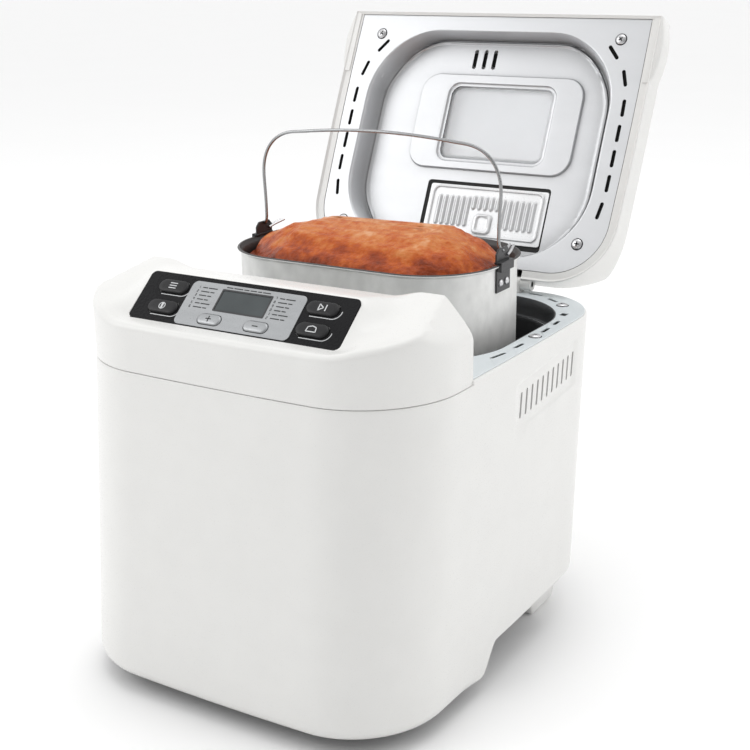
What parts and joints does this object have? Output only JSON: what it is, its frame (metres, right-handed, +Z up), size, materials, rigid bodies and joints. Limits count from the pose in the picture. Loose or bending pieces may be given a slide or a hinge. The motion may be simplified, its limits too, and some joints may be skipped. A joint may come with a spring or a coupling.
{
  "type": "bread machine",
  "caption": "Horizontal-loaf bread machine: hinged lid with window and fruit dispenser, removable pan with bail and paddle, push-button display panel, belt drive.",
  "frame": {"origin": "on the table under the middle of the machine's box as it stands, with its lid open", "axes": "+Z up; -Y the front with the control panel; +X to the right of someone facing the front"},
  "size_m": [0.292, 0.4614, 0.4446],
  "materials": {
    "white_plastic": "satin",
    "black_plastic": "matte",
    "overlay_black": "gloss",
    "silver_trim": "satin",
    "display_clear": "gloss",
    "display_dark": "matte",
    "circuit_board": "matte",
    "black_rubber": "matte",
    "screw_steel": "satin",
    "plate_metal": "satin",
    "pan_metal": "satin",
    "seat_metal": "matte",
    "shaft_steel": "satin",
    "motor_shell": "satin",
    "heater_sheath": "matte",
    "bush_brass": "satin",
    "bail_steel": "satin",
    "bracket_dark": "satin",
    "bread_crust": "matte",
    "window_glass": "gloss",
    "grey_plastic": "satin"
  },
  "bodies": {
    "base": {"body_shell": "white_plastic", "base_plate": "black_plastic", "front_feet": "black_rubber", "rear_feet": "white_plastic", "base_screws": "screw_steel", "cord_gland": "black_plastic", "control_housing": "white_plastic", "control_overlay": "overlay_black", "display_fascia": "silver_trim", "display_lens": "display_clear", "lcd_module": "display_dark", "control_board": "circuit_board", "housing_screws": "screw_steel", "rim_plate": "plate_metal", "rim_screws": "screw_steel", "oven_chamber": "plate_metal", "heating_element": "heater_sheath", "oven_sensor": "shaft_steel", "pan_seat": "seat_metal", "drive_bearing": "shaft_steel", "drive_belt": "black_rubber", "motor_body": "motor_shell", "motor_bracket": "shaft_steel", "power_board": "circuit_board"},
    "menu_key": {"button_menu": "overlay_black"},
    "color_key": {"button_color": "overlay_black"},
    "plus_key": {"button_plus": "silver_trim"},
    "minus_key": {"button_minus": "silver_trim"},
    "start_key": {"button_start_stop": "overlay_black"},
    "loaf_key": {"button_loaf": "overlay_black"},
    "drive": {"drive_shaft": "shaft_steel", "drive_pulley": "black_plastic"},
    "rotor": {"motor_shaft": "shaft_steel", "motor_pulley": "black_plastic"},
    "pan": {"bread_pan": "pan_metal", "pan_foot": "pan_metal", "pan_bush": "bush_brass", "bread_loaf": "bread_crust", "bail_bracket_left": "bracket_dark", "bail_bracket_right": "bracket_dark", "bracket_rivets": "screw_steel"},
    "paddle": {"pan_shaft": "shaft_steel", "kneading_paddle": "black_plastic"},
    "bail": {"bail_handle": "bail_steel"},
    "lid": {"lid_shell": "white_plastic", "lid_plate": "plate_metal", "lid_screws": "screw_steel", "lid_window": "window_glass", "window_seal": "black_rubber", "hinge_pins": "screw_steel", "dispenser_bin": "grey_plastic", "dispenser_seal": "black_rubber", "flap_pin": "screw_steel", "dispenser_latch": "black_plastic", "cover_pins": "screw_steel"},
    "flap": {"dispenser_flap": "grey_plastic"},
    "cover": {"dispenser_cover": "white_plastic"}
  },
  "joints": [
    {"name": "lid_hinge", "type": "hinge", "parent": "base", "child": "lid", "pos_m": [0, 0.09677, 0.242], "axis": [1, 0, 0], "range_deg": [0, 115]},
    {"name": "flap_hinge", "type": "hinge", "parent": "lid", "child": "flap", "pos_m": [0.007, 0.14499, 0.30778], "axis": [-1, 0, 0], "range_deg": [0, 32]},
    {"name": "cover_hinge", "type": "hinge", "parent": "lid", "child": "cover", "pos_m": [0.007, 0.15193, 0.25049], "axis": [-1, 0, 0], "range_deg": [0, 75]},
    {"name": "pan_slide", "type": "slide", "parent": "base", "child": "pan", "axis": [0, 0, 1], "range_m": [-0.073, 0]},
    {"name": "bail_hinge", "type": "hinge", "parent": "pan", "child": "bail", "pos_m": [0, -0.01323, 0.297], "axis": [1, 0, 0], "range_deg": [0, 90]},
    {"name": "drive_spin", "type": "hinge", "parent": "base", "child": "drive", "pos_m": [0, -0.01323, 0.04], "axis": [0, 0, 1], "continuous": true},
    {"name": "rotor_spin", "type": "hinge", "parent": "base", "child": "rotor", "pos_m": [0.078, -0.15923, 0.04], "axis": [0, 0, 1], "continuous": true},
    {"name": "paddle_spin", "type": "hinge", "parent": "pan", "child": "paddle", "pos_m": [0, -0.01323, 0.14], "axis": [0, 0, 1], "continuous": true},
    {"name": "menu_press", "type": "slide", "parent": "base", "child": "menu_key", "axis": [0, 0.6561, -0.7547], "range_m": [0, 0.001], "stiffness_N_per_m": 1500, "springref_m": -0.0005},
    {"name": "color_press", "type": "slide", "parent": "base", "child": "color_key", "axis": [0, 0.6561, -0.7547], "range_m": [0, 0.001], "stiffness_N_per_m": 1500, "springref_m": -0.0005},
    {"name": "plus_press", "type": "slide", "parent": "base", "child": "plus_key", "axis": [0, 0.6561, -0.7547], "range_m": [0, 0.001], "stiffness_N_per_m": 1500, "springref_m": -0.0005},
    {"name": "minus_press", "type": "slide", "parent": "base", "child": "minus_key", "axis": [0, 0.6561, -0.7547], "range_m": [0, 0.001], "stiffness_N_per_m": 1500, "springref_m": -0.0005},
    {"name": "start_press", "type": "slide", "parent": "base", "child": "start_key", "axis": [0, 0.6561, -0.7547], "range_m": [0, 0.001], "stiffness_N_per_m": 1500, "springref_m": -0.0005},
    {"name": "loaf_press", "type": "slide", "parent": "base", "child": "loaf_key", "axis": [0, 0.6561, -0.7547], "range_m": [0, 0.001], "stiffness_N_per_m": 1500, "springref_m": -0.0005}
  ],
  "couplings": [
    {"joint": "pan_slide", "follows": "lid_hinge", "m_per_rad": -0.03637},
    {"joint": "bail_hinge", "follows": "lid_hinge", "ratio": 0.78261},
    {"joint": "rotor_spin", "follows": "drive_spin", "ratio": 5.1111},
    {"joint": "paddle_spin", "follows": "drive_spin", "ratio": 1}
  ]
}
